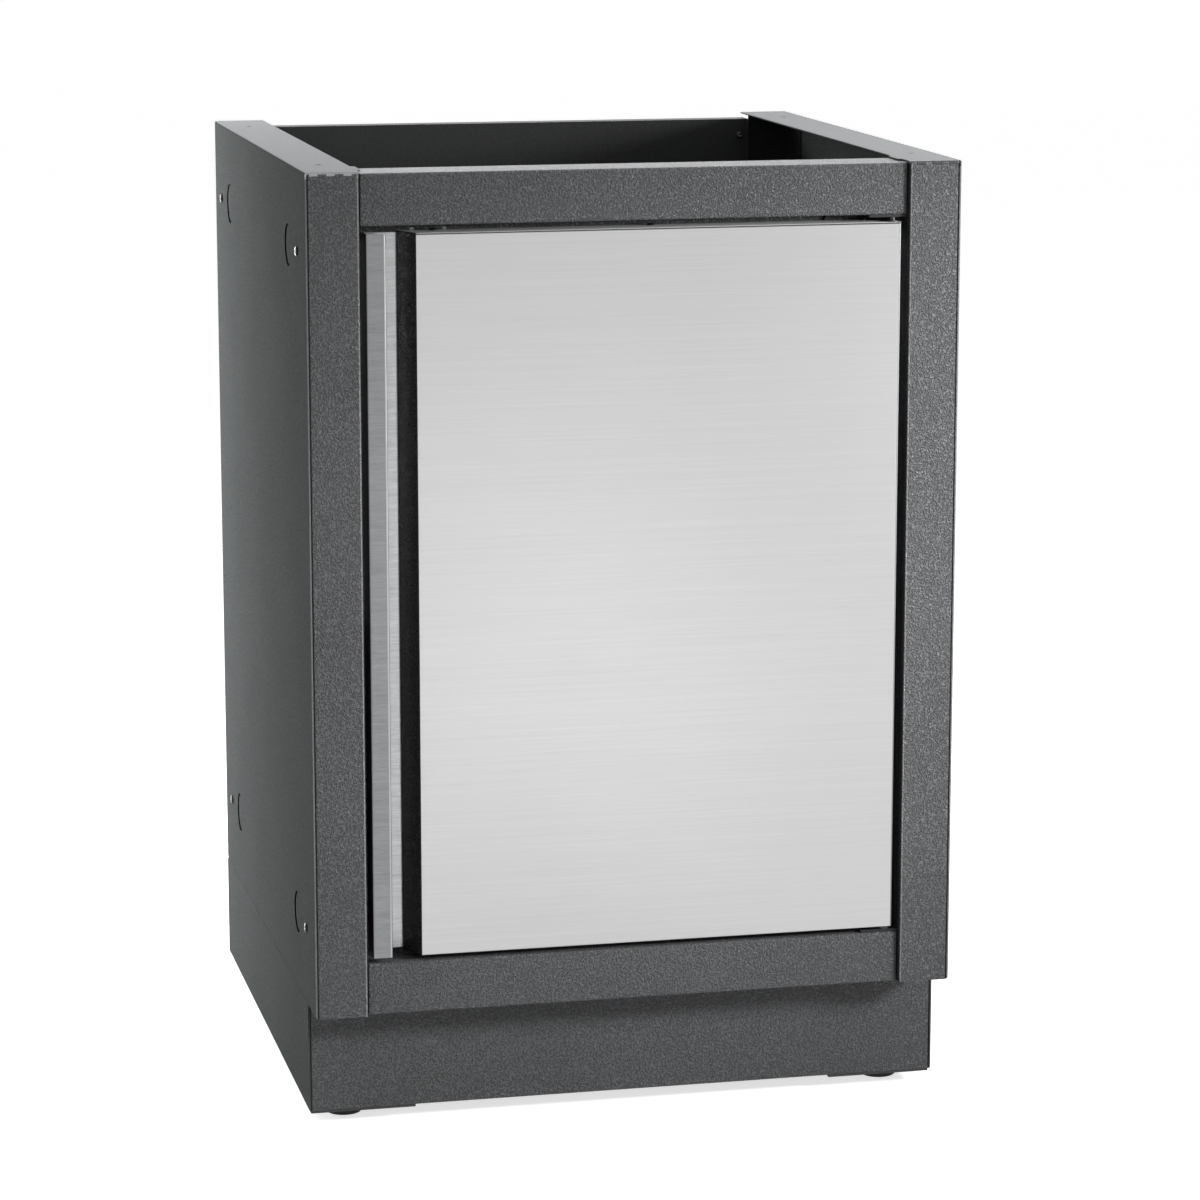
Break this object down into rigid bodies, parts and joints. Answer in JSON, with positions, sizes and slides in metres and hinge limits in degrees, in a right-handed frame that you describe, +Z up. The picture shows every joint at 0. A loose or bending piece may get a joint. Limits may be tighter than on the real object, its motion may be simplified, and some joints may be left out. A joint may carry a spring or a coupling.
{
  "type": "outdoor kitchen cabinet",
  "caption": "Free-standing outdoor kitchen base cabinet with an inset stainless door, a full-height finger pull, an open top and levelling feet.",
  "frame": {"origin": "on the floor, under the centre of the cabinet", "axes": "+Z up, +X to the right as seen from the front, -Y towards the person who opens the door"},
  "size_m": [0.6148, 0.61, 0.902],
  "materials": {
    "frame_paint": "dark charcoal hammer-finish powder coat",
    "inner_paint": "dark charcoal powder coat, smooth",
    "door_steel": "stainless steel with a fine horizontal grain",
    "grip_plastic": "black moulded plastic",
    "foot_rubber": "black moulded rubber",
    "bush_plastic": "natural nylon",
    "zinc_steel": "zinc-plated steel",
    "plate_paint": "black powder coat",
    "magnet": "nickel-plated magnet"
  },
  "bodies": {
    "cabinet": {"side_panel_left": "frame_paint", "side_panel_right": "frame_paint", "front_post_left": "frame_paint", "front_post_right": "frame_paint", "top_rail": "frame_paint", "bottom_rail": "frame_paint", "base_side_left": "frame_paint", "base_side_right": "frame_paint", "kick_plate": "frame_paint", "base_rear": "frame_paint", "rear_post_left": "inner_paint", "rear_post_right": "inner_paint", "back_panel": "inner_paint", "floor_panel": "inner_paint", "shelf": "inner_paint", "shelf_rail_left": "inner_paint", "shelf_rail_right": "inner_paint", "catch_body": "grip_plastic", "door_bumpers": "foot_rubber", "foot_nuts": "zinc_steel", "hinge_pin_upper": "zinc_steel", "hinge_pin_lower": "zinc_steel", "hinge_bracket_upper": "zinc_steel", "hinge_bracket_lower": "zinc_steel", "side_screws": "zinc_steel", "rail_screws": "zinc_steel", "back_screws": "zinc_steel", "base_screws": "zinc_steel", "foot_plate_screws": "zinc_steel", "shelf_screws": "zinc_steel", "bracket_screws": "zinc_steel", "catch_screws": "zinc_steel", "foot_plate_front_left": "plate_paint", "foot_plate_front_right": "plate_paint", "foot_plate_rear_left": "plate_paint", "foot_plate_rear_right": "plate_paint", "catch_magnet": "magnet"},
    "door": {"door_skin": "door_steel", "door_liner": "door_steel", "door_pull": "door_steel", "door_grip": "grip_plastic", "hinge_plate_upper": "zinc_steel", "hinge_plate_lower": "zinc_steel", "hinge_bush_upper": "bush_plastic", "hinge_bush_lower": "bush_plastic", "catch_strike": "zinc_steel", "liner_screws": "zinc_steel"},
    "foot_front_left": {"foot_stud_front_left": "zinc_steel", "foot_pad_front_left": "foot_rubber"},
    "foot_front_right": {"foot_stud_front_right": "zinc_steel", "foot_pad_front_right": "foot_rubber"},
    "foot_rear_left": {"foot_stud_rear_left": "zinc_steel", "foot_pad_rear_left": "foot_rubber"},
    "foot_rear_right": {"foot_stud_rear_right": "zinc_steel", "foot_pad_rear_right": "foot_rubber"}
  },
  "joints": [
    {"name": "door_hinge", "type": "hinge", "parent": "cabinet", "child": "door", "pos_m": [0.243, -0.293, 0.5095], "axis": [0, 0, 1], "range_deg": [0, 110]},
    {"name": "foot_screw_front_left", "type": "slide", "parent": "cabinet", "child": "foot_front_left", "axis": [0, 0, -1], "range_m": [0, 0.02]},
    {"name": "foot_screw_front_right", "type": "slide", "parent": "cabinet", "child": "foot_front_right", "axis": [0, 0, -1], "range_m": [0, 0.02]},
    {"name": "foot_screw_rear_left", "type": "slide", "parent": "cabinet", "child": "foot_rear_left", "axis": [0, 0, -1], "range_m": [0, 0.02]},
    {"name": "foot_screw_rear_right", "type": "slide", "parent": "cabinet", "child": "foot_rear_right", "axis": [0, 0, -1], "range_m": [0, 0.02]}
  ]
}
